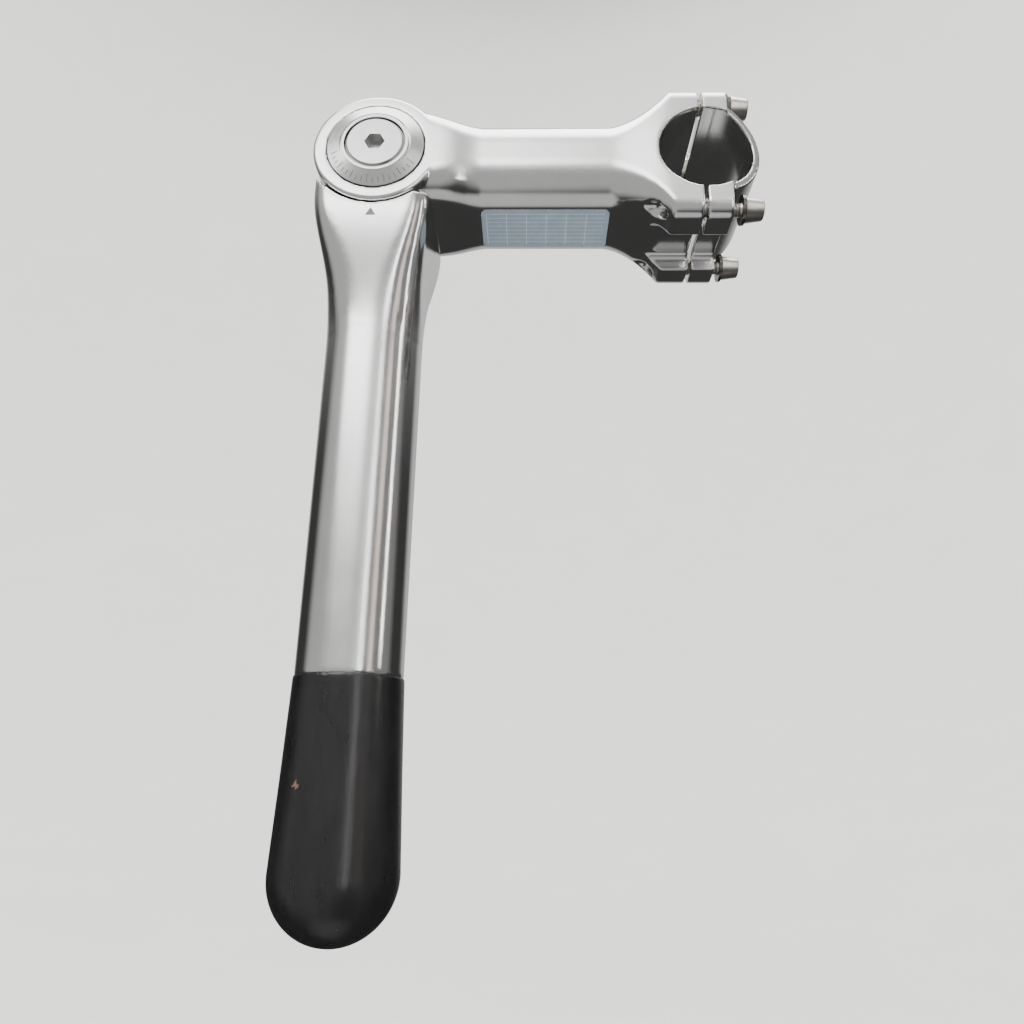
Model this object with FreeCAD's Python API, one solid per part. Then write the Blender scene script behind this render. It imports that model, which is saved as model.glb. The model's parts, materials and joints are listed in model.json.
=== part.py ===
"""Angle-adjustable quill handlebar stem, one STEP file per piece.

Millimetres. +X points forward along the extension, +Y to the rider's left and +Z up the quill.
The origin is on the quill's axis, at the shoulder where the tube steps down to the insert.
"""

import FreeCAD, Part
import math
import os
from FreeCAD import Vector

os.makedirs("parts", exist_ok=True)

# Driving dimensions: quill
PIVOT_Z = 178.0            # height of the pivot's axis above the insert shoulder
TUBE_R = 15.9              # upper tube, 31.8 mm
INSERT_R = 12.7            # insert for a 25.4 mm steerer bore
LAND_R = 15.0              # seat of the protective cap just above the shoulder
LAND_LENGTH = 5.0
INSERT_CUT_Z = -32.0       # where the oblique end crosses the axis
INSERT_CUT_DEG = 40.0
WEDGE_R = 12.3             # a little under the insert, so that it drops free
WEDGE_BOTTOM_Z = -53.5
WEDGE_GAP = 2.0            # along the axis, between the insert's end and the loose wedge
LOWER_BORE_R = 9.3
BOLT_SEAT_Z = 138.0        # seat of the expander bolt's washer
SEAT_WEB = 7.0
HEAD_LENGTH = 64.0         # from the pivot down to where the head has become the round tube

# Driving dimensions: pivot
EAR_R = 21.2
EAR_FACE_Y = 22.0
SLOT_Y = 12.4              # inner faces of the ears
TONGUE_Y = 12.0
TONGUE_R = 20.8
SEAT_R = 22.1              # concave shoulders under the ears
SLOT_R = 21.5
PIVOT_BORE_R = 7.1
BARREL_R = 7.0
RING_OUTER_R = 16.0
RING_INNER_R = 9.0
RING_DEPTH = 2.5
TOOTH_HEIGHT = 0.8
TOOTH_COUNT = 36
RING_GAP = 0.1             # ring tips stand back from the middle plane of the gap
RECESS_R = 16.5
DISC_R = 16.2
DISC_FLOOR_Y = 18.4
DISC_RIM_Y = 22.1
HEAD_TOP_Y = 24.2
HEAD_R = 10.0
HEAD_THICKNESS = 3.2
SOCKET_DEPTH = 3.4
PIVOT_SCREW_R = 4.0
SCREW_CLEARANCE = 0.05     # radial, between plain cylinders that stand for threads

# Driving dimensions: extension and clamp
NECK_HALF_Y = 20.0
NECK_HALF_Z = 16.4
NECK_CORNER = 13.0
BAR_X = 110.6
BAR_R = 15.9               # 31.8 mm handlebar
BODY_SLIT_X = 108.6
PLATE_SLIT_X = 109.7
CLAMP_HALF_Y = 22.0
CLAMP_TOP_Z = 25.2         # above the bar, to the bosses' top
CLAMP_BOTTOM_Z = 26.2      # below the bar, to the bosses' bottom
BOSS_REAR_X = 98.6
BOSS_R = 5.6
BOSS_FRONT_X = 118.0
BOLT_Y = 16.0
BOLT_ABOVE = 20.3
BOLT_BELOW = 21.2
PLATE_WALL = 2.4
RELIEF_HALF_Y = 9.6
RELIEF_Z = 20.3

# Driving dimensions: fasteners
M5_R = 2.5
M5_HOLE_R = 2.8
M5_EXIT_R = 3.1            # relief where a clamp bolt's hole opens at the rear
M5_EXIT_X = 94.5
M5_LENGTH = 22.0
M5_HEAD_BASE_R = 4.25
M5_HEAD_TOP_R = 3.5
M5_HEAD_LENGTH = 6.2
M5_WASHER_R = 4.9
WASHER_THICKNESS = 1.0
M8_R = 4.0

X = Vector(1, 0, 0)
Y = Vector(0, 1, 0)
Z = Vector(0, 0, 1)
PIVOT = Vector(0, 0, PIVOT_Z)

# Each clamp bolt: name, side in Y, side in Z, distance that it is unscrewed from its seat
CLAMP_BOLTS = [
    ("upper_right", -1, 1, 0.8),
    ("lower_right", -1, -1, 3.2),
    ("lower_left", 1, -1, 2.6),
    ("upper_left", 1, 1, 1.6),
]


def cylinder(radius, start, axis, length):
    return Part.makeCylinder(radius, length, start, axis)


def block(x0, x1, y0, y1, z0, z1):
    return Part.makeBox(x1 - x0, y1 - y0, z1 - z0, Vector(x0, y0, z0))


def tube(outer, inner, start, axis, length):
    return cylinder(outer, start, axis, length).cut(cylinder(inner, start, axis, length))


def hexagon(across_flats, start, axis, length):
    """A hexagonal prism that grows from start along the axis."""
    corner = across_flats / math.sqrt(3)
    angles = [math.radians(60 * i) for i in range(7)]
    points = [Vector(corner * math.cos(a), corner * math.sin(a), 0) for a in angles]
    prism = Part.Face(Part.makePolygon(points)).extrude(Vector(0, 0, length))
    prism.Placement = FreeCAD.Placement(start, FreeCAD.Rotation(Z, axis))
    return prism


def rounded_wire(half_a, half_b, corner):
    """A rounded rectangle around the origin of the XY plane, as four lines and four arcs."""
    a = half_a - corner
    b = half_b - corner
    edges = []
    for i, (sx, sy) in enumerate([(1, 1), (-1, 1), (-1, -1), (1, -1)]):
        centre = Vector(sx * a, sy * b, 0)
        arc = Part.makeCircle(corner, centre, Z, 90 * i, 90 * i + 90)
        edges.append(arc)
        nx, ny = [(-1, 1), (-1, -1), (1, -1), (1, 1)][i]
        start = arc.Vertexes[-1].Point
        turn = math.radians(90 * i + 90)
        end = Vector(nx * a, ny * b, 0) + Vector(math.cos(turn), math.sin(turn), 0) * corner
        edges.append(Part.makeLine(start, end))
    return Part.Wire(edges)


def loft(sections, to_place):
    """A solid through rounded rectangles, each given as (place, half_a, half_b, corner)."""
    wires = []
    for place, half_a, half_b, corner in sections:
        wire = rounded_wire(half_a, half_b, corner)
        wire.Placement = to_place(place)
        wires.append(wire)
    return Part.makeLoft(wires, True, False)


def section_across_x(place):
    """Places a section in the YZ plane at (x, height over the pivot), its first side along Y."""
    x, above = place
    matrix = FreeCAD.Matrix(0, 0, 1, x, 1, 0, 0, 0, 0, 1, 0, PIVOT_Z + above, 0, 0, 0, 1)
    return FreeCAD.Placement(matrix)


def section_across_z(place):
    """Places a section level at (x, z), its first side along X and its second along Y."""
    x, z = place
    return FreeCAD.Placement(Vector(x, 0, z), FreeCAD.Rotation())


def about_pivot(radius, half_width):
    """A cylinder on the pivot's axis, as wide as twice half_width."""
    return cylinder(radius, PIVOT - Y * half_width, Y, 2 * half_width)


def save(name, shape):
    shape.exportStep(f"parts/{name}.step")


# Quill ----------------------------------------------------------------------------------------

def blend(t):
    """A smooth step from 0 to 1 as t goes from 0 to 1, level at both ends."""
    t = min(1.0, max(0.0, t))
    return t * t * (3 - 2 * t)


def quill_head():
    """The forged head: the round tube grows into a block with flat sides, flush with the ears."""
    rear_x = 20.8
    front_x = 18.8
    start_r = TUBE_R + 0.04
    bottom = PIVOT_Z - HEAD_LENGTH
    sections = []
    count = 13
    for i in range(count):
        z = bottom + (HEAD_LENGTH - 2) * i / (count - 1)
        below = PIVOT_Z - z
        widen_x = blend((48 - below) / 34)
        widen_y = blend((HEAD_LENGTH - below) / 44)
        rear = start_r + (rear_x - start_r) * widen_x
        front = start_r + (front_x - start_r) * widen_x
        half_y = start_r + (EAR_FACE_Y - start_r) * widen_y
        corner = start_r - 0.02 - (start_r - 7.0) * widen_y
        place = ((front - rear) / 2, z)
        sections.append((place, (front + rear) / 2, half_y, corner))
    return loft(sections, section_across_z)


def quill_tube():
    neck_clearance = 1.1
    tube_top = PIVOT_Z - HEAD_LENGTH
    inside_head = 3.0
    shaft = cylinder(TUBE_R, Vector(0, 0, LAND_LENGTH), Z, tube_top + inside_head - LAND_LENGTH)
    land = cylinder(LAND_R, Vector(0, 0, 0), Z, LAND_LENGTH + 1)
    insert = cylinder(INSERT_R, Vector(0, 0, -50), Z, 51)
    under_neck = PIVOT_Z - NECK_HALF_Z - neck_clearance
    head = quill_head().cut(block(-1, 40, -40, 40, under_neck, PIVOT_Z + 5))
    root = head.common(block(-40, 40, -TONGUE_Y, TONGUE_Y, 0, PIVOT_Z))
    shoulders = head.cut(about_pivot(SEAT_R, 40))
    tongue = about_pivot(TONGUE_R, TONGUE_Y)
    outside = shaft.fuse([land, insert, shoulders, tongue, root])
    pieces = [
        cylinder(PIVOT_BORE_R, PIVOT - Y * 30, Y, 60),
        cylinder(LOWER_BORE_R, Vector(0, 0, -70), Z, 70 + BOLT_SEAT_Z - SEAT_WEB),
        cylinder(M8_R + 0.3, Vector(0, 0, 0), Z, PIVOT_Z),
        cylinder(7.0, Vector(0, 0, BOLT_SEAT_Z), Z, 80),
        below_oblique(INSERT_CUT_Z),
    ]
    for side in (-1, 1):
        start = PIVOT + Y * side * (TONGUE_Y - RING_DEPTH)
        pieces.append(cylinder(RING_OUTER_R, start, Y * side, 10))
    return outside.cut(pieces)


def below_oblique(z_on_axis):
    """A half space, as a big block, below the insert's oblique end."""
    big = block(-60, 60, -60, 60, -100, 0)
    turn = FreeCAD.Rotation(Y, INSERT_CUT_DEG)
    big.Placement = FreeCAD.Placement(Vector(0, 0, z_on_axis), turn)
    return big


def wedge_nut():
    body = cylinder(WEDGE_R, Vector(0, 0, WEDGE_BOTTOM_Z), Z, 60)
    body = body.common(below_oblique(INSERT_CUT_Z - WEDGE_GAP))
    return body.cut(cylinder(M8_R + SCREW_CLEARANCE, Vector(0, 0, -80), Z, 100))


def expander_bolt():
    head_bottom = BOLT_SEAT_Z + 1.5
    head = cylinder(6.5, Vector(0, 0, head_bottom), Z, 8)
    head = head.cut(hexagon(6, Vector(0, 0, head_bottom + 4), Z, 5))
    shank = cylinder(M8_R, Vector(0, 0, WEDGE_BOTTOM_Z - 1), Z, head_bottom - WEDGE_BOTTOM_Z + 2)
    return head.fuse(shank)


def expander_washer():
    return tube(6.8, M8_R + 0.3, Vector(0, 0, BOLT_SEAT_Z), Z, 1.5)


def protective_cap():
    """A dipped cap: a straight bore with a round end, and a wall that thickens downwards."""
    bore_r = LAND_R + 0.05
    round_z = -48.0
    tip_r = 18.1
    lip_r = 16.2
    tip = Vector(0, 0, round_z - tip_r)
    middle = Vector(tip_r * math.sin(math.pi / 4), 0, round_z - tip_r * math.cos(math.pi / 4))
    side = Vector(tip_r, 0, round_z)
    inner_tip = Vector(0, 0, round_z - bore_r)
    inner_middle = Vector(bore_r * math.sin(math.pi / 4), 0, round_z - bore_r * math.cos(math.pi / 4))
    inner_side = Vector(bore_r, 0, round_z)
    bulge = Vector(17.0, 0, -20)
    lip = Vector(lip_r, 0, LAND_LENGTH)
    inner_lip = Vector(bore_r, 0, LAND_LENGTH)
    edges = [
        Part.Arc(tip, middle, side).toShape(),
        Part.makeLine(side, bulge),
        Part.makeLine(bulge, lip),
        Part.makeLine(lip, inner_lip),
        Part.makeLine(inner_lip, inner_side),
        Part.Arc(inner_side, inner_middle, inner_tip).toShape(),
        Part.makeLine(inner_tip, tip),
    ]
    return Part.Face(Part.Wire(edges)).revolve(Vector(0, 0, 0), Z, 360)


# Pivot ----------------------------------------------------------------------------------------

def tooth_ring():
    """A serrated ring around Y, its back at y = 0 and its teeth towards +y."""
    height = RING_DEPTH + (SLOT_Y - TONGUE_Y) / 2 - RING_GAP
    ring = tube(RING_OUTER_R - 0.05, RING_INNER_R, Vector(0, 0, 0), Y, height)
    half = math.radians(180 / TOOTH_COUNT) * 20
    points = [
        Vector(0, height - TOOTH_HEIGHT, 0),
        Vector(-half, height + 0.1, 0),
        Vector(half, height + 0.1, 0),
        Vector(0, height - TOOTH_HEIGHT, 0),
    ]
    groove = Part.Face(Part.makePolygon(points)).extrude(Vector(0, 0, 20))
    grooves = []
    for i in range(TOOTH_COUNT):
        turned = groove.copy()
        turned.rotate(Vector(0, 0, 0), Y, 360 * i / TOOTH_COUNT)
        grooves.append(turned)
    return ring.cut(grooves)


def placed_ring(back_y, side, outward):
    """A tooth ring on one side, its teeth pointing out to that side or back to the middle."""
    ring = tooth_ring()
    if side * outward < 0:
        ring.rotate(Vector(0, 0, 0), Z, 180)
    if outward < 0:
        ring.rotate(Vector(0, 0, 0), Y, 180 / TOOTH_COUNT)
    ring.translate(PIVOT + Y * side * back_y)
    return ring


def angle_disc():
    """The right disc: a low cone in the ear's recess, with a seat for the bolt's head."""
    outside = disc_outline(-1)
    groove_depth = 1.0
    points = [Vector(11.3, 0, 0), Vector(12.0, 0, 0), Vector(12.0, 4, 0), Vector(11.3, 4, 0)]
    wire = Part.makePolygon(points + points[:1])
    groove = Part.Face(wire).revolve(Vector(0, 0, 0), Y, 245)
    groove.rotate(Vector(0, 0, 0), Y, -200)
    cone_drop = 0.4
    groove.translate(PIVOT - Y * (HEAD_TOP_Y + 4 - groove_depth - cone_drop))
    return outside.cut(groove)


def disc_outline(side):
    cone_top_y = HEAD_TOP_Y - 0.2
    cone_r = 11.1
    seat_r = HEAD_R + 0.3
    start = PIVOT + Y * side * DISC_FLOOR_Y
    flat = cylinder(DISC_R, start, Y * side, DISC_RIM_Y - DISC_FLOOR_Y)
    rim = PIVOT + Y * side * DISC_RIM_Y
    cone = Part.makeCone(DISC_R, cone_r, cone_top_y - DISC_RIM_Y, rim, Y * side)
    seat = cylinder(seat_r, PIVOT + Y * side * seat_y(), Y * side, 10)
    bore_r = PIVOT_SCREW_R + 0.3 if side < 0 else PIVOT_BORE_R
    return flat.fuse(cone).cut([seat, cylinder(bore_r, PIVOT, Y * side, 40)])


def seat_y():
    """Where the heads' washers sit, on either side."""
    return HEAD_TOP_Y - HEAD_THICKNESS - WASHER_THICKNESS


def flat_head(side):
    """A flat round bolt head with a chamfered edge and a 6 mm hexagon socket."""
    chamfer = 0.9
    base = PIVOT + Y * side * (HEAD_TOP_Y - HEAD_THICKNESS)
    shoulder = PIVOT + Y * side * (HEAD_TOP_Y - chamfer)
    head = cylinder(HEAD_R, base, Y * side, HEAD_THICKNESS - chamfer)
    head = head.fuse(Part.makeCone(HEAD_R, HEAD_R - chamfer, chamfer, shoulder, Y * side))
    return head


def pivot_bolt():
    head = flat_head(-1)
    shank_start = PIVOT - Y * (HEAD_TOP_Y - HEAD_THICKNESS)
    bolt = head.fuse(cylinder(PIVOT_SCREW_R, shank_start, Y, 34))
    return bolt.cut(hexagon(6, PIVOT - Y * (HEAD_TOP_Y + 1), Y, 1 + SOCKET_DEPTH))


def pivot_washer():
    start = PIVOT - Y * (HEAD_TOP_Y - HEAD_THICKNESS)
    return tube(9.8, PIVOT_SCREW_R + 0.3, start, Y, WASHER_THICKNESS)


def pivot_barrel_nut():
    """A long nut with a flat head on the left, its barrel through both ears and the tongue."""
    barrel_end_y = 17.0
    head_base_y = HEAD_TOP_Y - HEAD_THICKNESS
    flange = tube(9.8, BARREL_R - 1, PIVOT + Y * seat_y(), Y, WASHER_THICKNESS)
    barrel = cylinder(BARREL_R, PIVOT - Y * barrel_end_y, Y, barrel_end_y + head_base_y)
    nut = flat_head(1).fuse([flange, barrel])
    nut = nut.cut(cylinder(PIVOT_SCREW_R + SCREW_CLEARANCE, PIVOT - Y * 20, Y, 36))
    return nut.cut(hexagon(6, PIVOT + Y * (HEAD_TOP_Y - SOCKET_DEPTH), Y, 5))


# Extension ------------------------------------------------------------------------------------

def extension_neck():
    """The neck: wide at the ears, straight in the middle, flared up and down at the bosses."""
    flush_end = 22.0
    straight_start = 35.0
    straight_end = 79.0
    ear_x = 4.0
    flush_y = EAR_FACE_Y - 0.04
    swell_above = 4.2
    swell_below = 1.6
    rear = []
    rear_count = 8
    for i in range(rear_count):
        t = i / (rear_count - 1)
        x = ear_x + (straight_start - ear_x) * t
        narrowing = blend((x - flush_end) / (straight_start - flush_end))
        half_y = flush_y - (flush_y - NECK_HALF_Y) * narrowing
        top = NECK_HALF_Z + swell_above * (1 - blend((x - 4) / 26))
        bottom = NECK_HALF_Z + swell_below * (1 - blend((x - 2) / 18))
        corner = 6.0 + (NECK_CORNER - 6.0) * t
        rear.append(((x, (top - bottom) / 2), half_y, (top + bottom) / 2, corner))
    front = []
    front_count = 8
    for i in range(front_count):
        t = i / (front_count - 1)
        x = straight_end + (BOSS_REAR_X - straight_end) * t
        half_y = NECK_HALF_Y + (CLAMP_HALF_Y - NECK_HALF_Y) * blend(t)
        top = flare_z(x, straight_end, CLAMP_TOP_Z)
        bottom = flare_z(x, straight_end, CLAMP_BOTTOM_Z)
        place = (x, (top - bottom) / 2)
        corner = NECK_CORNER + (BOSS_R - NECK_CORNER) * t
        front.append((place, half_y, (top + bottom) / 2, corner))
    middle = [rear[-1], front[0]]
    parts = [loft(rear, section_across_x), loft(middle, section_across_x), loft(front, section_across_x)]
    return parts[0].fuse(parts[1:])


def flare_z(x, start_x, end_z):
    """The neck's height over its middle, along a round flare that ends at the bosses."""
    run = BOSS_REAR_X - start_x
    rise = end_z - NECK_HALF_Z
    radius = (run * run + rise * rise) / (2 * rise)
    return NECK_HALF_Z + radius - math.sqrt(radius * radius - (x - start_x) ** 2)


def clamp_relief(x0, x1):
    """The hollows between the bosses, above and below the bar."""
    hollows = []
    for side in (-1, 1):
        z0 = PIVOT_Z + side * RELIEF_Z
        z1 = PIVOT_Z + side * 40
        hollow = block(x0, x1, -RELIEF_HALF_Y, RELIEF_HALF_Y, min(z0, z1), max(z0, z1))
        inner = [e for e in hollow.Edges if on_floor(e, z0)]
        hollows.append(hollow.makeFillet(3.0, inner))
    return hollows


def on_floor(edge, z):
    """Whether an edge runs along X at the height z."""
    a, b = edge.Vertexes[0].Point, edge.Vertexes[1].Point
    return abs(a.z - z) < 0.01 and abs(b.z - z) < 0.01 and abs(a.y - b.y) < 0.01


def bar_bore():
    return cylinder(BAR_R, PIVOT + X * BAR_X - Y * 40, Y, 80)


def bolt_place(side_y, side_z, x):
    above = BOLT_ABOVE if side_z > 0 else -BOLT_BELOW
    return Vector(x, side_y * BOLT_Y, PIVOT_Z + above)


def clamp_outline(x):
    """The bosses' rounded outline, as a face across X."""
    half_z = (CLAMP_TOP_Z + CLAMP_BOTTOM_Z) / 2
    outline = rounded_wire(CLAMP_HALF_Y, half_z, BOSS_R)
    outline.Placement = section_across_x((x, CLAMP_TOP_Z - half_z))
    return Part.Face(outline)


def extension_body():
    ears = about_pivot(EAR_R, EAR_FACE_Y)
    edges = [e for e in ears.Edges if e.Curve.TypeId == "Part::GeomCircle"]
    ears = ears.makeFillet(1.2, edges)
    clamp = clamp_outline(BOSS_REAR_X).extrude(X * (BODY_SLIT_X - BOSS_REAR_X))
    body = ears.fuse([extension_neck(), clamp])
    cuts = [
        about_pivot(SLOT_R, SLOT_Y),
        block(-40, 0, -SLOT_Y, SLOT_Y, PIVOT_Z - 40, PIVOT_Z + 40),
        cylinder(PIVOT_BORE_R, PIVOT - Y * 40, Y, 80),
        bar_bore(),
    ]
    cuts += clamp_relief(70, 120)
    for side in (-1, 1):
        cuts.append(cylinder(RECESS_R, PIVOT + Y * side * DISC_FLOOR_Y, Y * side, 10))
        cuts.append(cylinder(RING_OUTER_R, PIVOT, Y * side, SLOT_Y + RING_DEPTH))
    for _, side_y, side_z, _ in CLAMP_BOLTS:
        start = bolt_place(side_y, side_z, 80)
        cuts.append(cylinder(M5_R + SCREW_CLEARANCE, start, X, 40))
        cuts.append(cylinder(M5_EXIT_R, start, X, M5_EXIT_X - 80))
    return body.cut(cuts)


def underside_label():
    """A film wrapped on the neck's underside, with rounded corners."""
    film = 0.2
    rear_x = 35.0
    length = 44.0
    inner = rounded_wire(NECK_HALF_Y, NECK_HALF_Z, NECK_CORNER)
    outer = rounded_wire(NECK_HALF_Y + film, NECK_HALF_Z + film, NECK_CORNER + film)
    for wire in (inner, outer):
        wire.Placement = section_across_x((rear_x, 0))
    sleeve = Part.Face(outer).extrude(X * length).cut(Part.Face(inner).extrude(X * length))
    outline = block(rear_x, rear_x + length, -10, 10, PIVOT_Z - 30, PIVOT_Z)
    upright = [e for e in outline.Edges if abs(e.Length - 30) < 0.01]
    return sleeve.common(outline.makeFillet(2.0, upright))


# Clamp ----------------------------------------------------------------------------------------

def faceplate():
    """The front half of the clamp: four bosses and an arched wall around the bar."""
    plate = clamp_outline(PLATE_SLIT_X).extrude(X * (BOSS_FRONT_X - PLATE_SLIT_X))
    outer_r = BAR_R + PLATE_WALL
    arch = cylinder(outer_r, PIVOT + X * BAR_X - Y * CLAMP_HALF_Y, Y, 2 * CLAMP_HALF_Y)
    arch = arch.common(block(PLATE_SLIT_X, 140, -40, 40, PIVOT_Z - 40, PIVOT_Z + 40))
    arch = arch.common(arch_outline())
    plate = plate.fuse(arch)
    cuts = [bar_bore()] + clamp_relief(105, 125)
    for _, side_y, side_z, _ in CLAMP_BOLTS:
        cuts.append(cylinder(M5_HOLE_R, bolt_place(side_y, side_z, 100), X, 40))
        cuts.append(cylinder(M5_WASHER_R + 0.6, bolt_place(side_y, side_z, BOSS_FRONT_X), X, 20))
    return plate.cut(cuts)


def arch_outline():
    """The arch seen from above: its sides draw in towards the front."""
    front_half_y = 16.5
    points = [
        Vector(PLATE_SLIT_X, -CLAMP_HALF_Y, 0),
        Vector(BOSS_FRONT_X - 2, -CLAMP_HALF_Y, 0),
        Vector(130, -front_half_y, 0),
        Vector(130, front_half_y, 0),
        Vector(BOSS_FRONT_X - 2, CLAMP_HALF_Y, 0),
        Vector(PLATE_SLIT_X, CLAMP_HALF_Y, 0),
    ]
    outline = Part.Face(Part.makePolygon(points + points[:1]))
    return outline.extrude(Z * 400)


def clamp_washer(side_y, side_z, unscrewed):
    start = bolt_place(side_y, side_z, BOSS_FRONT_X + unscrewed)
    return tube(M5_WASHER_R, M5_R + 0.2, start, X, WASHER_THICKNESS)


def clamp_bolt(side_y, side_z, unscrewed):
    base_x = BOSS_FRONT_X + unscrewed + WASHER_THICKNESS
    start = bolt_place(side_y, side_z, base_x)
    head = Part.makeCone(M5_HEAD_BASE_R, M5_HEAD_TOP_R, M5_HEAD_LENGTH, start, X)
    shank = cylinder(M5_R, start - X * M5_LENGTH, X, M5_LENGTH)
    socket = hexagon(4, start + X * (M5_HEAD_LENGTH - 3), X, 5)
    return head.fuse(shank).cut(socket)


# All pieces -----------------------------------------------------------------------------------

save("quill_tube", quill_tube())
save("wedge_nut", wedge_nut())
save("expander_bolt", expander_bolt())
save("expander_washer", expander_washer())
save("protective_cap", protective_cap())
save("extension_body", extension_body())
save("underside_label", underside_label())
save("angle_disc_right", angle_disc())
save("cover_disc_left", disc_outline(1))
save("pivot_bolt", pivot_bolt())
save("pivot_washer", pivot_washer())
save("pivot_barrel_nut", pivot_barrel_nut())
for side_name, side in (("right", -1), ("left", 1)):
    save(f"tongue_tooth_ring_{side_name}", placed_ring(TONGUE_Y - RING_DEPTH, side, 1))
    save(f"ear_tooth_ring_{side_name}", placed_ring(SLOT_Y + RING_DEPTH, side, -1))
save("faceplate", faceplate())
for bolt_name, side_y, side_z, unscrewed in CLAMP_BOLTS:
    save(f"clamp_bolt_{bolt_name}", clamp_bolt(side_y, side_z, unscrewed))
    save(f"clamp_washer_{bolt_name}", clamp_washer(side_y, side_z, unscrewed))
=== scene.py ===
import bmesh
import bpy
import json
import math
from mathutils import Matrix, Vector


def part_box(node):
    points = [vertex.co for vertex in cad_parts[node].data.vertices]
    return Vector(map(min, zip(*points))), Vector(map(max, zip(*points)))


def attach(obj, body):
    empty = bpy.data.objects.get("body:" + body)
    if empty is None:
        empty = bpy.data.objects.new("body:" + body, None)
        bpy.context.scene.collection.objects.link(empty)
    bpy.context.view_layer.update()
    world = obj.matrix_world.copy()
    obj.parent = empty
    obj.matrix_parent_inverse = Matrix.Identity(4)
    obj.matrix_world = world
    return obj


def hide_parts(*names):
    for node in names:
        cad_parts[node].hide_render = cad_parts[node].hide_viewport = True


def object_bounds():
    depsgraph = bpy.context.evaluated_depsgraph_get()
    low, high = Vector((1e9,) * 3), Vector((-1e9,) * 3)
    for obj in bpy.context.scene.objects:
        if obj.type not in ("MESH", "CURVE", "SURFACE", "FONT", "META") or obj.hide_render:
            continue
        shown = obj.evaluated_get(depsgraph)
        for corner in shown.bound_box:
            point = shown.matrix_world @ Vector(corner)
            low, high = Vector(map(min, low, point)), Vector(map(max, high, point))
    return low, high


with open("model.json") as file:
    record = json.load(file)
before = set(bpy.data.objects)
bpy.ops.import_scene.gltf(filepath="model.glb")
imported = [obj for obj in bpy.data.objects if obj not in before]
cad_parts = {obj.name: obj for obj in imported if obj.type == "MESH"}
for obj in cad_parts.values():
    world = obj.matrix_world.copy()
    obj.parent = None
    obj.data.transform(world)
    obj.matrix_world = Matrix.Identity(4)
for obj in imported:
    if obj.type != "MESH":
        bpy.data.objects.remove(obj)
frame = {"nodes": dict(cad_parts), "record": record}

CAD_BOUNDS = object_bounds()
MM = 0.001
JOINTS = {joint["name"]: joint for joint in frame["record"]["behaviour"]["joints"]}
PIVOT = Vector(JOINTS["stem_angle"]["pos_m"])
BOLT_NAMES = ("upper_right", "lower_right", "lower_left", "upper_left")


# Node helpers -----------------------------------------------------------------------------------

class Nodes:
    """A material's node tree, with short calls for what the materials below repeat."""

    def __init__(self, name, **shader_values):
        self.material = bpy.data.materials.new(name)
        self.material.use_nodes = True
        self.tree = self.material.node_tree
        self.shader = self.tree.nodes["Principled BSDF"]
        self.place = self.tree.nodes.new("ShaderNodeTexCoord").outputs["Object"]
        for key, value in shader_values.items():
            self.shader.inputs[key.replace("_", " ")].default_value = value

    def link(self, source, target):
        self.tree.links.new(source, target)

    def scaled(self, scale):
        """The object's coordinates, each stretched by its own factor."""
        node = self.tree.nodes.new("ShaderNodeMapping")
        node.inputs["Scale"].default_value = scale
        self.link(self.place, node.inputs["Vector"])
        return node.outputs["Vector"]

    def noise(self, scale, detail=3.0, roughness=0.6):
        """Noise with its own scale along each axis, in cycles per metre."""
        node = self.tree.nodes.new("ShaderNodeTexNoise")
        node.inputs["Scale"].default_value = 1.0
        node.inputs["Detail"].default_value = detail
        node.inputs["Roughness"].default_value = roughness
        self.link(self.scaled(scale), node.inputs["Vector"])
        return node.outputs["Fac"]

    def ramp(self, source, stops):
        """A colour ramp; each stop is (place, value or colour)."""
        node = self.tree.nodes.new("ShaderNodeValToRGB")
        elements = node.color_ramp.elements
        while len(elements) < len(stops):
            elements.new(0.5)
        for element, (place, value) in zip(elements, stops):
            colour = value if isinstance(value, tuple) else (value,) * 3
            element.position = place
            element.color = (*colour, 1.0)
        self.link(source, node.inputs["Fac"])
        return node.outputs["Color"]

    def mix(self, factor, a, b):
        """A colour mix; a and b are sockets or colours."""
        node = self.tree.nodes.new("ShaderNodeMix")
        node.data_type = "RGBA"
        inputs = [i for i in node.inputs if i.type == "RGBA"]
        for value, socket in ((a, inputs[0]), (b, inputs[1])):
            if isinstance(value, tuple):
                socket.default_value = (*value, 1.0)
            else:
                self.link(value, socket)
        if isinstance(factor, float):
            node.inputs[0].default_value = factor
        else:
            self.link(factor, node.inputs[0])
        return [o for o in node.outputs if o.type == "RGBA"][0]

    def math(self, operation, *values):
        """A math node; each value is a socket or a number."""
        node = self.tree.nodes.new("ShaderNodeMath")
        node.operation = operation
        for value, socket in zip(values, node.inputs):
            if isinstance(value, (int, float)):
                socket.default_value = value
            else:
                self.link(value, socket)
        return node.outputs[0]

    def axes(self):
        """The object's coordinates as three sockets."""
        node = self.tree.nodes.new("ShaderNodeSeparateXYZ")
        self.link(self.place, node.inputs[0])
        return node.outputs

    def facing(self, axis):
        """How squarely the surface faces along one axis of the object, from 0 to 1."""
        place = self.tree.nodes.new("ShaderNodeTexCoord")
        parts = self.tree.nodes.new("ShaderNodeSeparateXYZ")
        self.link(place.outputs["Normal"], parts.inputs[0])
        return self.math("ABSOLUTE", parts.outputs[axis])

    def colour(self, source):
        self.link(source, self.shader.inputs["Base Color"])

    def roughness(self, source):
        self.link(source, self.shader.inputs["Roughness"])

    def bump(self, source, distance):
        node = self.tree.nodes.new("ShaderNodeBump")
        node.inputs["Strength"].default_value = 1.0
        node.inputs["Distance"].default_value = distance
        self.link(source, node.inputs["Height"])
        self.link(node.outputs["Normal"], self.shader.inputs["Normal"])


# Materials --------------------------------------------------------------------------------------

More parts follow.
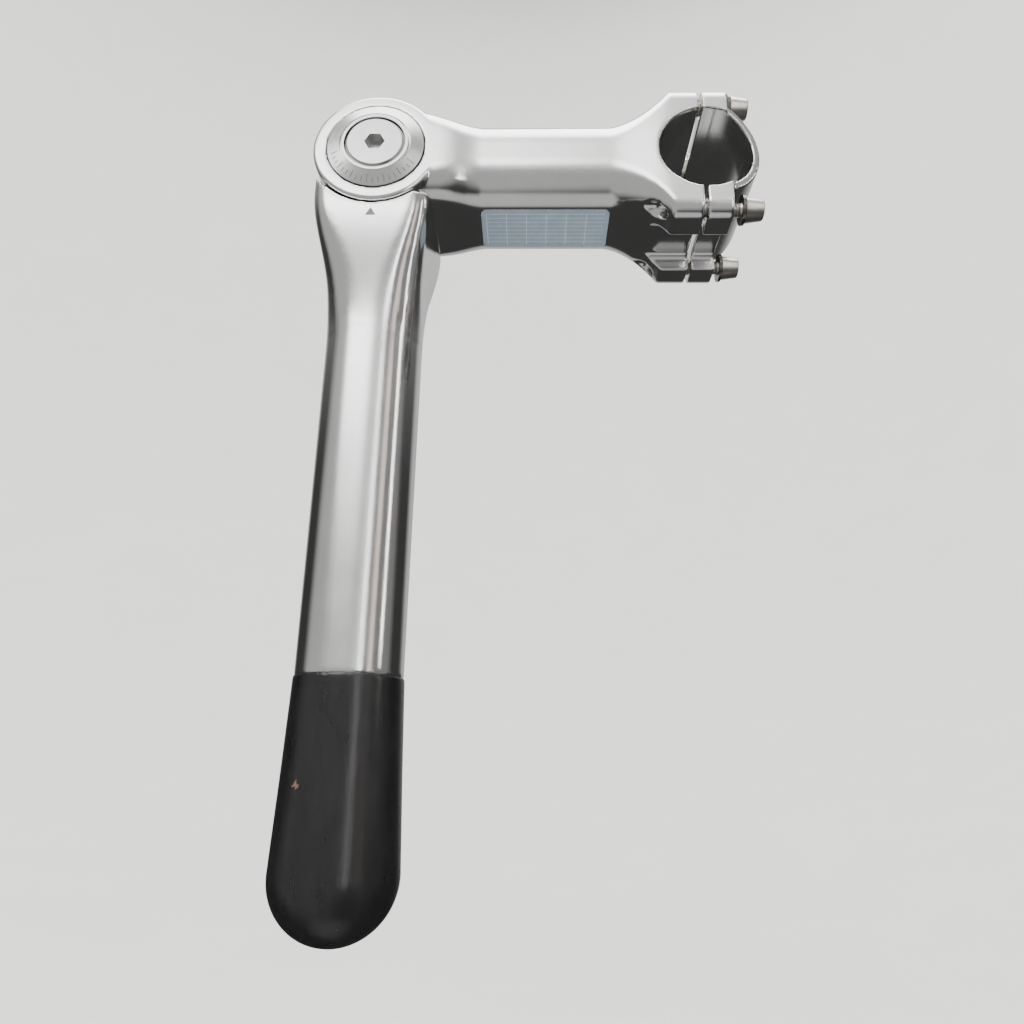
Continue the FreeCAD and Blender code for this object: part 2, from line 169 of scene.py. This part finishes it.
def satin_alloy(name, along, tint=(0.86, 0.86, 0.845), polished=0.13, satin=0.33):
    """Aluminium: satin on the flat sides, polished round the corners, with fine lines along one axis."""
    n = Nodes(name, Metallic=1.0, Coat_Weight=0.15, Coat_Roughness=0.15)
    fine = [4200.0] * 3
    fine[along] = 70.0
    lines = n.noise(tuple(fine), detail=4.0)
    broad = [700.0] * 3
    broad[along] = 20.0
    bands = n.noise(tuple(broad), detail=2.0)
    clouds = n.noise((38.0, 38.0, 38.0), detail=5.0)
    smears = n.noise((160.0, 160.0, 160.0), detail=6.0, roughness=0.7)
    dark = tuple(c * 0.92 for c in tint)
    light = tuple(min(1.0, c * 1.06) for c in tint)
    n.colour(n.mix(n.ramp(clouds, [(0.32, 0.0), (0.72, 1.0)]), dark, light))
    flat = n.ramp(n.facing(1), [(0.86, 0.0), (0.985, 1.0)])
    base = n.math("MULTIPLY_ADD", flat, satin - polished, polished)
    worn = n.math("MULTIPLY_ADD", lines, 0.10, n.math("MULTIPLY", smears, 0.09))
    n.roughness(n.math("ADD", base, n.math("SUBTRACT", worn, 0.09)))
    n.bump(n.math("MULTIPLY_ADD", bands, 0.4, lines), 0.007 * MM)
    return n.material


def turned_steel(name, tint, base_roughness=0.26, dirt=0.35):
    """Turned steel: fine noise all round, with a little darker staining."""
    n = Nodes(name, Metallic=1.0)
    grain = n.noise((2600.0, 2600.0, 2600.0), detail=4.0)
    stain = n.noise((420.0, 420.0, 420.0), detail=4.0)
    dark = tuple(c * (1.0 - dirt) for c in tint)
    n.colour(n.mix(n.ramp(stain, [(0.35, 1.0), (0.62, 0.0)]), tint, dark))
    n.roughness(n.math("MULTIPLY_ADD", grain, 0.2, base_roughness - 0.1))
    n.bump(grain, 0.01 * MM)
    return n.material


def spun_disc(name, tint):
    """A spun face: fine rings around the pivot's axis."""
    n = Nodes(name, Metallic=1.0)
    x, _, z = n.axes()
    up = n.math("SUBTRACT", z, PIVOT.z)
    radius = n.math("SQRT", n.math("MULTIPLY_ADD", x, x, n.math("MULTIPLY", up, up)))
    rings = n.tree.nodes.new("ShaderNodeTexNoise")
    rings.noise_dimensions = "1D"
    rings.inputs["Scale"].default_value = 6500.0
    n.link(radius, rings.inputs["W"])
    clouds = n.noise((130.0, 130.0, 130.0), detail=5.0)
    dark = tuple(c * 0.86 for c in tint)
    n.colour(n.mix(n.ramp(clouds, [(0.3, 0.0), (0.7, 1.0)]), dark, tint))
    n.roughness(n.math("MULTIPLY_ADD", rings.outputs["Fac"], 0.12, 0.24))
    n.bump(rings.outputs["Fac"], 0.010 * MM)
    return n.material


def black_rubber():
    """Dipped vinyl: satin black with soft ripples, pale scuffs and one small brown nick."""
    n = Nodes("cap_vinyl", Specular_IOR_Level=0.6)
    ripple = n.noise((150.0, 150.0, 55.0), detail=3.0)
    pores = n.noise((3400.0, 3400.0, 3400.0), detail=2.0)
    scuffs = n.noise((900.0, 900.0, 130.0), detail=8.0, roughness=0.75)
    worn = n.ramp(scuffs, [(0.60, 0.0), (0.80, 1.0)])
    base = n.mix(n.ramp(ripple, [(0.3, 0.0), (0.7, 1.0)]), (0.005, 0.005, 0.0055), (0.009, 0.009, 0.0095))
    base = n.mix(n.math("MULTIPLY", worn, 0.18), base, (0.07, 0.066, 0.062))
    turn = math.radians(31)
    cap_r = 17.3 * MM
    nick = Vector((-math.sin(turn) * cap_r, -math.cos(turn) * cap_r, -25.0 * MM))
    x, y, z = n.axes()
    wobble = n.math("MULTIPLY", n.noise((700.0, 700.0, 700.0), detail=3.0), 3.2 * MM)
    across = n.math("ABSOLUTE", n.math("SUBTRACT", x, nick.x))
    along = n.math("ABSOLUTE", n.math("SUBTRACT", z, nick.z))
    front = n.math("LESS_THAN", y, 0.0)
    reach = n.math("ADD", n.math("ADD", across, n.math("MULTIPLY", along, 0.7)), wobble)
    mark = n.math("MULTIPLY", n.math("LESS_THAN", reach, 2.6 * MM), front)
    n.colour(n.mix(mark, base, (0.12, 0.064, 0.036)))
    gloss = n.math("MULTIPLY_ADD", ripple, 0.14, n.math("MULTIPLY_ADD", worn, 0.2, 0.22))
    n.roughness(n.math("ADD", gloss, n.math("MULTIPLY", mark, 0.4)))
    height = n.math("MULTIPLY_ADD", pores, 0.10, ripple)
    n.bump(n.math("SUBTRACT", height, n.math("MULTIPLY", mark, 1.5)), 0.09 * MM)
    return n.material


def label_film():
    """A blank blue-grey film label with a plain ruled grid."""
    n = Nodes("label_film", Coat_Weight=0.3, Coat_Roughness=0.25)
    x, y, _ = n.axes()
    low, high = (Vector(corner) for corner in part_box("underside_label"))
    margin = 1.6 * MM
    row_pitch, column_pitch, line_share = 2.1 * MM, 6.9 * MM, 0.12
    rows = n.math("FRACT", n.math("DIVIDE", n.math("SUBTRACT", y, low.y + margin), row_pitch))
    columns = n.math("FRACT", n.math("DIVIDE", n.math("SUBTRACT", x, low.x + margin), column_pitch))
    row_line = n.math("LESS_THAN", rows, line_share)
    column_line = n.math("LESS_THAN", columns, line_share * row_pitch / column_pitch)
    in_y = n.math("LESS_THAN", n.math("ABSOLUTE", y), (high.y - low.y) / 2 - margin)
    from_middle = n.math("ABSOLUTE", n.math("SUBTRACT", x, (low.x + high.x) / 2))
    in_x = n.math("LESS_THAN", from_middle, (high.x - low.x) / 2 - margin)
    inside = n.math("MULTIPLY", in_x, in_y)
    lines = n.math("MULTIPLY", n.math("MAXIMUM", row_line, column_line), inside)
    clouds = n.noise((300.0, 300.0, 300.0), detail=4.0)
    base = n.mix(n.ramp(clouds, [(0.3, 0.0), (0.7, 1.0)]), (0.13, 0.18, 0.22), (0.17, 0.22, 0.26))
    n.colour(n.mix(n.math("MULTIPLY", lines, 0.6), base, (0.42, 0.46, 0.49)))
    n.roughness(n.math("MULTIPLY_ADD", clouds, 0.2, 0.28))
    n.bump(clouds, 0.02 * MM)
    return n.material


def etched_mark():
    """The matt grey of a mark etched in the metal."""
    n = Nodes("etched_mark", Metallic=0.6)
    grain = n.noise((5000.0, 5000.0, 5000.0), detail=3.0)
    n.colour(n.mix(grain, (0.13, 0.13, 0.125), (0.25, 0.25, 0.24)))
    n.roughness(n.math("MULTIPLY_ADD", grain, 0.2, 0.5))
    n.bump(grain, 0.01 * MM)
    return n.material


def paint(node, material):
    """Gives a CAD node one material in place of its own."""
    mesh = frame["nodes"][node].data
    mesh.materials.clear()
    mesh.materials.append(material)


QUILL_ALLOY = satin_alloy("quill_alloy", along=2)
EXTENSION_ALLOY = satin_alloy("extension_alloy", along=0)
WEDGE_ALLOY = satin_alloy("wedge_alloy", along=2, tint=(0.66, 0.66, 0.65))
DISC_ALLOY = spun_disc("disc_alloy", (0.70, 0.70, 0.685))
BOLT_STEEL = turned_steel("bolt_stainless", (0.80, 0.765, 0.70), base_roughness=0.34, dirt=0.15)
PIVOT_STEEL = spun_disc("pivot_steel", (0.60, 0.60, 0.595))
WASHER_STEEL = turned_steel("washer_steel", (0.30, 0.29, 0.27), dirt=0.5)
TOOTH_STEEL = turned_steel("tooth_steel", (0.33, 0.33, 0.34), dirt=0.4)
RUBBER = black_rubber()
LABEL = label_film()
ETCHED = etched_mark()

for node, material in {
    "wedge_nut": WEDGE_ALLOY,
    "angle_disc_right": DISC_ALLOY,
    "cover_disc_left": DISC_ALLOY,
    "pivot_bolt": PIVOT_STEEL,
    "pivot_barrel_nut": PIVOT_STEEL,
    "pivot_washer": WASHER_STEEL,
    "expander_bolt": WASHER_STEEL,
    "expander_washer": WASHER_STEEL,
    "underside_label": LABEL,
}.items():
    paint(node, material)
for side in ("right", "left"):
    paint(f"tongue_tooth_ring_{side}", TOOTH_STEEL)
    paint(f"ear_tooth_ring_{side}", TOOTH_STEEL)
for bolt in BOLT_NAMES:
    paint(f"clamp_washer_{bolt}", WASHER_STEEL)


# Forgings and the cap ---------------------------------------------------------------------------

def add_piece(name, mesh, body, material):
    """Links a mesh as a piece that rides on a CAD body, with the given material in place of its own."""
    mesh.materials.clear()
    mesh.materials.append(material)
    piece = bpy.data.objects.new(name, mesh)
    bpy.context.scene.collection.objects.link(piece)
    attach(piece, body)
    return piece


SMOOTH_ROUNDS = 5


def softened(node, voxel):
    """The node's shape remeshed evenly and smoothed, so that every edge is softly rounded."""
    rough = bpy.data.objects.new(f"{node}_rough", frame["nodes"][node].data.copy())
    bpy.context.scene.collection.objects.link(rough)
    remesh = rough.modifiers.new("remesh", "REMESH")
    remesh.mode = "VOXEL"
    remesh.voxel_size = voxel
    smooth = rough.modifiers.new("smooth", "SMOOTH")
    smooth.iterations = SMOOTH_ROUNDS
    mesh = bpy.data.meshes.new_from_object(rough.evaluated_get(bpy.context.evaluated_depsgraph_get()))
    bpy.data.objects.remove(rough)
    mesh.shade_smooth()
    return mesh


# Each one: node, body, slot, material, voxel size in millimetres
FORGINGS = (
    ("quill_tube", "quill", "quill_alloy", QUILL_ALLOY, 0.60),
    ("extension_body", "extension", "extension_alloy", EXTENSION_ALLOY, 0.55),
    ("faceplate", "faceplate", "faceplate_alloy", EXTENSION_ALLOY, 0.40),
    ("protective_cap", "cap", "cap_rubber", RUBBER, 0.50),
)
forged = {}
for node, body, slot, material, voxel in FORGINGS:
    piece = add_piece(f"{node}_forged", softened(node, voxel * MM), body, material)
    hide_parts(node)
    forged[node] = piece


# Small parts ------------------------------------------------------------------------------------

SEGMENTS = 48


def hexagon_radius(across_flats, angle):
    """The distance from the middle to a hexagon's side at an angle."""
    sixth = math.pi / 3
    return across_flats / 2 / math.cos((angle % sixth) - sixth / 2)


def ringed_mesh(name, rings, place, axis):
    """A closed mesh of rings around an axis. Each ring is (distance along the axis, radius or function)."""
    turn = axis.to_track_quat("Z", "Y").to_matrix()
    bm = bmesh.new()
    loops = []
    for along, radius in rings:
        loop = []
        for i in range(SEGMENTS):
            a = math.tau * i / SEGMENTS
            r = radius(a) if callable(radius) else radius
            loop.append(bm.verts.new(place + turn @ Vector((r * math.cos(a), r * math.sin(a), along))))
        loops.append(loop)
    for lower, upper in zip(loops, loops[1:]):
        for i in range(SEGMENTS):
            j = (i + 1) % SEGMENTS
            bm.faces.new((lower[i], lower[j], upper[j], upper[i]))
    bm.faces.new(reversed(loops[0]))
    bm.faces.new(loops[-1])
    bmesh.ops.recalc_face_normals(bm, faces=bm.faces[:])
    mesh = bpy.data.meshes.new(name)
    bm.to_mesh(mesh)
    bm.free()
    mesh.shade_smooth()
    mesh.set_sharp_from_angle(angle=math.radians(32))
    return mesh


def rounded_corner(along, radius, size, steps=4):
    """Ring places for a quarter-round outer edge that ends at (along, radius - size)."""
    rings = []
    for i in range(steps + 1):
        a = math.pi / 2 * i / steps
        rings.append((along - size + size * math.sin(a), radius - size + size * math.cos(a)))
    return rings


def thread_radius(crest, depth, pitch, along):
    """The radius of a screw thread, as a function of the angle, at a distance along its axis."""
    def radius(angle):
        share = (along / pitch - angle / math.tau) % 1.0
        return crest - depth * abs(2 * share - 1)
    return radius


def clamp_bolt_rings(low_x, base_x, top_x, base_r, top_r):
    """A socket-head bolt along +X from its tip: thread, plain neck, tapered head, hexagon socket."""
    crest, depth, pitch = 2.46 * MM, 0.38 * MM, 0.8 * MM
    plain, rows_per_turn, tip = 1.5 * MM, 8, 0.6 * MM
    edge, socket_af, socket_depth, chamfer = 0.55 * MM, 4.0 * MM, 3.0 * MM, 0.25 * MM
    drill_point, drill_point_r = 0.5 * MM, 0.4 * MM
    rings = [(0.0, crest - tip)]
    rows = int((base_x - low_x - plain - tip) / pitch * rows_per_turn)
    for i in range(rows + 1):
        along = tip + i * pitch / rows_per_turn
        rings.append((along, thread_radius(crest, depth, pitch, along)))
    base = base_x - low_x
    top = top_x - low_x
    rings += [(base - plain * 0.6, crest), (base, crest)]
    rings += [(base, base_r - chamfer), (base + chamfer, base_r)]
    rings += rounded_corner(top, top_r, edge)
    rings += [
        (top, lambda a: hexagon_radius(socket_af + 2 * chamfer, a)),
        (top - chamfer, lambda a: hexagon_radius(socket_af, a)),
        (top - socket_depth, lambda a: hexagon_radius(socket_af, a)),
        (top - socket_depth - drill_point, drill_point_r),
    ]
    return rings


HEAD_LENGTH, HEAD_BASE_R, HEAD_TOP_R = 6.2 * MM, 4.25 * MM, 3.55 * MM
for bolt in BOLT_NAMES:
    node = f"clamp_bolt_{bolt}"
    low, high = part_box(node)
    rings = clamp_bolt_rings(low.x, high.x - HEAD_LENGTH, high.x, HEAD_BASE_R, HEAD_TOP_R)
    middle = Vector((low.x, (low.y + high.y) / 2, (low.z + high.z) / 2))
    mesh = ringed_mesh(f"{node}_turned", rings, middle, Vector((1, 0, 0)))
    piece = add_piece(f"{node}_turned", mesh, node, BOLT_STEEL)
    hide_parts(node)


# Marks ------------------------------------------------------------------------------------------

def prism(bm, corners, direction, height):
    """A closed prism on a loop of corners, which grows along a direction."""
    base = [bm.verts.new(c) for c in corners]
    top = [bm.verts.new(c + direction * height) for c in corners]
    bm.faces.new(base)
    bm.faces.new(reversed(top))
    for i in range(len(base)):
        j = (i + 1) % len(base)
        bm.faces.new((base[j], base[i], top[i], top[j]))


def finished(bm, name):
    """The mesh of a closed bmesh, with its faces turned outwards."""
    bmesh.ops.recalc_face_normals(bm, faces=bm.faces[:])
    mesh = bpy.data.meshes.new(name)
    bm.to_mesh(mesh)
    bm.free()
    return mesh


def index_mark():
    """A small triangle laid on the quill's right shoulder, which points up at the pivot."""
    base_z, half_base, height = PIVOT.z - 27.2 * MM, 1.75 * MM, 2.8 * MM
    sunk, proud, rows = 0.2 * MM, 0.05 * MM, 6
    tip_half, outside_y = 0.02 * MM, -40 * MM

    def on_skin(x, z, outward):
        """The place on the quill's right side at x and z, moved outwards."""
        start = Vector((x, outside_y, z))
        _, hit, _, _ = forged["quill_tube"].ray_cast(start, Vector((0, 1, 0)))
        return Vector((x, hit.y - outward, z))

    bm = bmesh.new()
    loops = []
    for i in range(rows + 1):
        z = base_z + height * i / rows
        half = max(half_base * (1 - i / rows), tip_half)
        places = ((-half, proud), (half, proud), (half, -sunk), (-half, -sunk))
        loops.append([bm.verts.new(on_skin(x, z, outward)) for x, outward in places])
    for lower, upper in zip(loops, loops[1:]):
        for i in range(4):
            j = (i + 1) % 4
            bm.faces.new((lower[i], lower[j], upper[j], upper[i]))
    bm.faces.new(reversed(loops[0]))
    bm.faces.new(loops[-1])
    return finished(bm, "index_mark")


def scale_marks():
    """Plain marks around the lower edge of the right disc's cone, every third one longer."""
    rim_r, rim_y, top_r, top_y = 16.2 * MM, -22.1 * MM, 11.1 * MM, -24.0 * MM
    slope = Vector((0, top_y - rim_y, 0)) + Vector((0, 0, top_r - rim_r))
    slope.normalize()
    outward = Vector((0, slope.z, -slope.y))
    if outward.y > 0:
        outward.negate()
    half_width, sunk, proud = 0.16 * MM, 0.1 * MM, 0.03 * MM
    rim_gap, long_mark, short_mark = 1.1 * MM, 2.5 * MM, 1.6 * MM
    first, last, step = 195, 330, 7.5
    bm = bmesh.new()
    count = int((last - first) / step) + 1
    for i in range(count):
        turn = Matrix.Rotation(math.radians(90 - (first + step * i)), 3, "Y")
        start = Vector((0, rim_y, rim_r)) + slope * rim_gap
        length = long_mark if i % 3 == 0 else short_mark
        ends = (start, start + slope * length)
        side = Vector((half_width, 0, 0))
        loop = [ends[0] - side, ends[0] + side, ends[1] + side, ends[1] - side]
        corners = [PIVOT + turn @ (c - outward * sunk) for c in loop]
        prism(bm, corners, turn @ outward, sunk + proud)
    return finished(bm, "scale_marks")


add_piece("index_mark", index_mark(), "quill", ETCHED)
add_piece("scale_marks", scale_marks(), "extension", ETCHED)


# Softer edges on the small CAD parts ------------------------------------------------------------

SMALL_PARTS = ["angle_disc_right", "cover_disc_left", "pivot_bolt", "pivot_barrel_nut"]
SMALL_PARTS += [f"clamp_washer_{bolt}" for bolt in BOLT_NAMES]
for node in SMALL_PARTS:
    bevel = frame["nodes"][node].modifiers.new("edge", "BEVEL")
    bevel.width = 0.12 * MM
    bevel.segments = 2
    bevel.limit_method = "ANGLE"
    bevel.angle_limit = math.radians(35)


# Stage ------------------------------------------------------------------------------------------

def stage_material():
    """A pale, matt studio surface with a faint unevenness."""
    n = Nodes("studio_floor", Specular_IOR_Level=0.1)
    clouds = n.noise((9.0, 9.0, 9.0), detail=4.0)
    n.colour(n.mix(clouds, (0.74, 0.74, 0.73), (0.79, 0.79, 0.78)))
    n.roughness(n.math("MULTIPLY_ADD", clouds, 0.1, 0.8))
    return n.material


def cyclorama():
    """A round floor that turns up into a wall. It lies low enough for the cap to come off above it."""
    floor_z = CAD_BOUNDS[0].z - JOINTS["cap_pull"]["range_m"][1]
    floor_r, bend_r, wall_h, steps, turns = 0.45, 1.7, 2.6, 24, 96
    weld = 0.5 * MM
    profile = [(0.0, floor_z), (floor_r, floor_z)]
    for i in range(1, steps + 1):
        a = math.pi / 2 * i / steps
        profile.append((floor_r + bend_r * math.sin(a), floor_z + bend_r * (1 - math.cos(a))))
    profile.append((floor_r + bend_r, floor_z + bend_r + wall_h))
    mesh = bpy.data.meshes.new("studio_floor")
    bm = bmesh.new()
    verts = [bm.verts.new((r, 0, z)) for r, z in profile]
    for a, b in zip(verts, verts[1:]):
        bm.edges.new((a, b))
    outline = bm.verts[:] + bm.edges[:]
    bmesh.ops.spin(bm, geom=outline, axis=(0, 0, 1), cent=(0, 0, 0), steps=turns, angle=math.tau)
    bmesh.ops.remove_doubles(bm, verts=bm.verts[:], dist=weld)
    bm.to_mesh(mesh)
    bm.free()
    mesh.shade_smooth()
    mesh.materials.append(stage_material())
    floor = bpy.data.objects.new("studio_floor", mesh)
    floor.visible_glossy = False
    bpy.context.scene.collection.objects.link(floor)


def area_light(name, place, target, size, watts, tint=(1.0, 1.0, 1.0)):
    """A rectangular lamp that points at a target and isn't seen by the camera."""
    data = bpy.data.lights.new(name, "AREA")
    data.shape = "RECTANGLE"
    data.size, data.size_y = size
    data.energy = watts
    data.color = tint
    lamp = bpy.data.objects.new(name, data)
    lamp.location = place
    lamp.rotation_mode = "QUATERNION"
    lamp.rotation_quaternion = (Vector(target) - Vector(place)).to_track_quat("-Z", "Y")
    lamp.visible_camera = False
    bpy.context.scene.collection.objects.link(lamp)


def world_light():
    """Soft lobes of light with dark between them, so that polished metal has contrast."""
    world = bpy.data.worlds.new("studio")
    bpy.context.scene.world = world
    world.use_nodes = True
    tree = world.node_tree

    def node(kind, **values):
        made = tree.nodes.new(kind)
        for key, value in values.items():
            made.inputs[key.replace("_", " ")].default_value = value
        return made

    direction = tree.nodes.new("ShaderNodeTexCoord").outputs["Generated"]

    def lobe(axis, start, end, strength):
        """Light that grows smoothly as a direction comes closer to an axis, by cosine."""
        turn = tree.nodes.new("ShaderNodeVectorMath")
        turn.operation = "DOT_PRODUCT"
        turn.inputs[1].default_value = axis
        tree.links.new(direction, turn.inputs[0])
        step = node("ShaderNodeMapRange", From_Min=start, From_Max=end, To_Min=0.0, To_Max=strength)
        step.interpolation_type = "SMOOTHSTEP"
        tree.links.new(turn.outputs["Value"], step.inputs["Value"])
        return step.outputs["Result"]

    # Each one: axis, cosine where it starts, cosine where it is full, strength
    lobes = (
        lobe((-0.50, -0.866, 0.0), 0.28, 0.66, 0.42),
        lobe((0.90, -0.43, 0.0), 0.72, 0.86, 0.16),
        lobe((0.0, -0.10, -0.995), 0.90, 0.975, 0.50),
        lobe((0.0, 0.0, 1.0), 0.30, 0.90, 0.45),
        lobe((0.0, 0.90, 0.43), 0.68, 0.92, 0.50),
    )
    ambient = node("ShaderNodeValue")
    ambient.outputs[0].default_value = 0.045
    light = ambient.outputs[0]
    for part in lobes:
        add = node("ShaderNodeMath")
        tree.links.new(light, add.inputs[0])
        tree.links.new(part, add.inputs[1])
        light = add.outputs[0]
    tree.links.new(light, tree.nodes["Background"].inputs["Color"])


MIDDLE = (0.03, 0.0, 0.10)
cyclorama()
world_light()
area_light("key", (-0.6, -1.4, 1.1), MIDDLE, (1.6, 0.7), 20)
area_light("window", (0.62, -1.07, 0.25), MIDDLE, (0.09, 1.2), 2.6)
area_light("brown_strip", (0.98, -0.77, 0.2), MIDDLE, (0.22, 1.2), 0.8, (1.0, 0.82, 0.75))
area_light("side_strip", (1.2, -0.32, 0.5), MIDDLE, (0.05, 0.7), 1.0, (1.0, 0.97, 0.94))
area_light("top", (0.1, -0.2, 3.0), MIDDLE, (2.4, 2.4), 110)


# Camera -----------------------------------------------------------------------------------------

def main_camera():
    """Below and to the right of the stem, looking up at its right side."""
    place = Vector((53.3, -238.1, -19.9)) * MM
    forward = Vector((-0.0249, 0.9516, 0.3065)).normalized()
    up = Vector((-0.0084, -0.3068, 0.9518))
    right = forward.cross(up).normalized()
    up = right.cross(forward)
    data = bpy.data.cameras.new("camera")
    data.sensor_width = 36.0
    data.lens = 28.125
    data.clip_start = 0.01
    data.clip_end = 20
    camera = bpy.data.objects.new("camera", data)
    camera.matrix_world = Matrix.Translation(place) @ Matrix((right, up, -forward)).transposed().to_4x4()
    bpy.context.scene.collection.objects.link(camera)
    bpy.context.scene.camera = camera


main_camera()
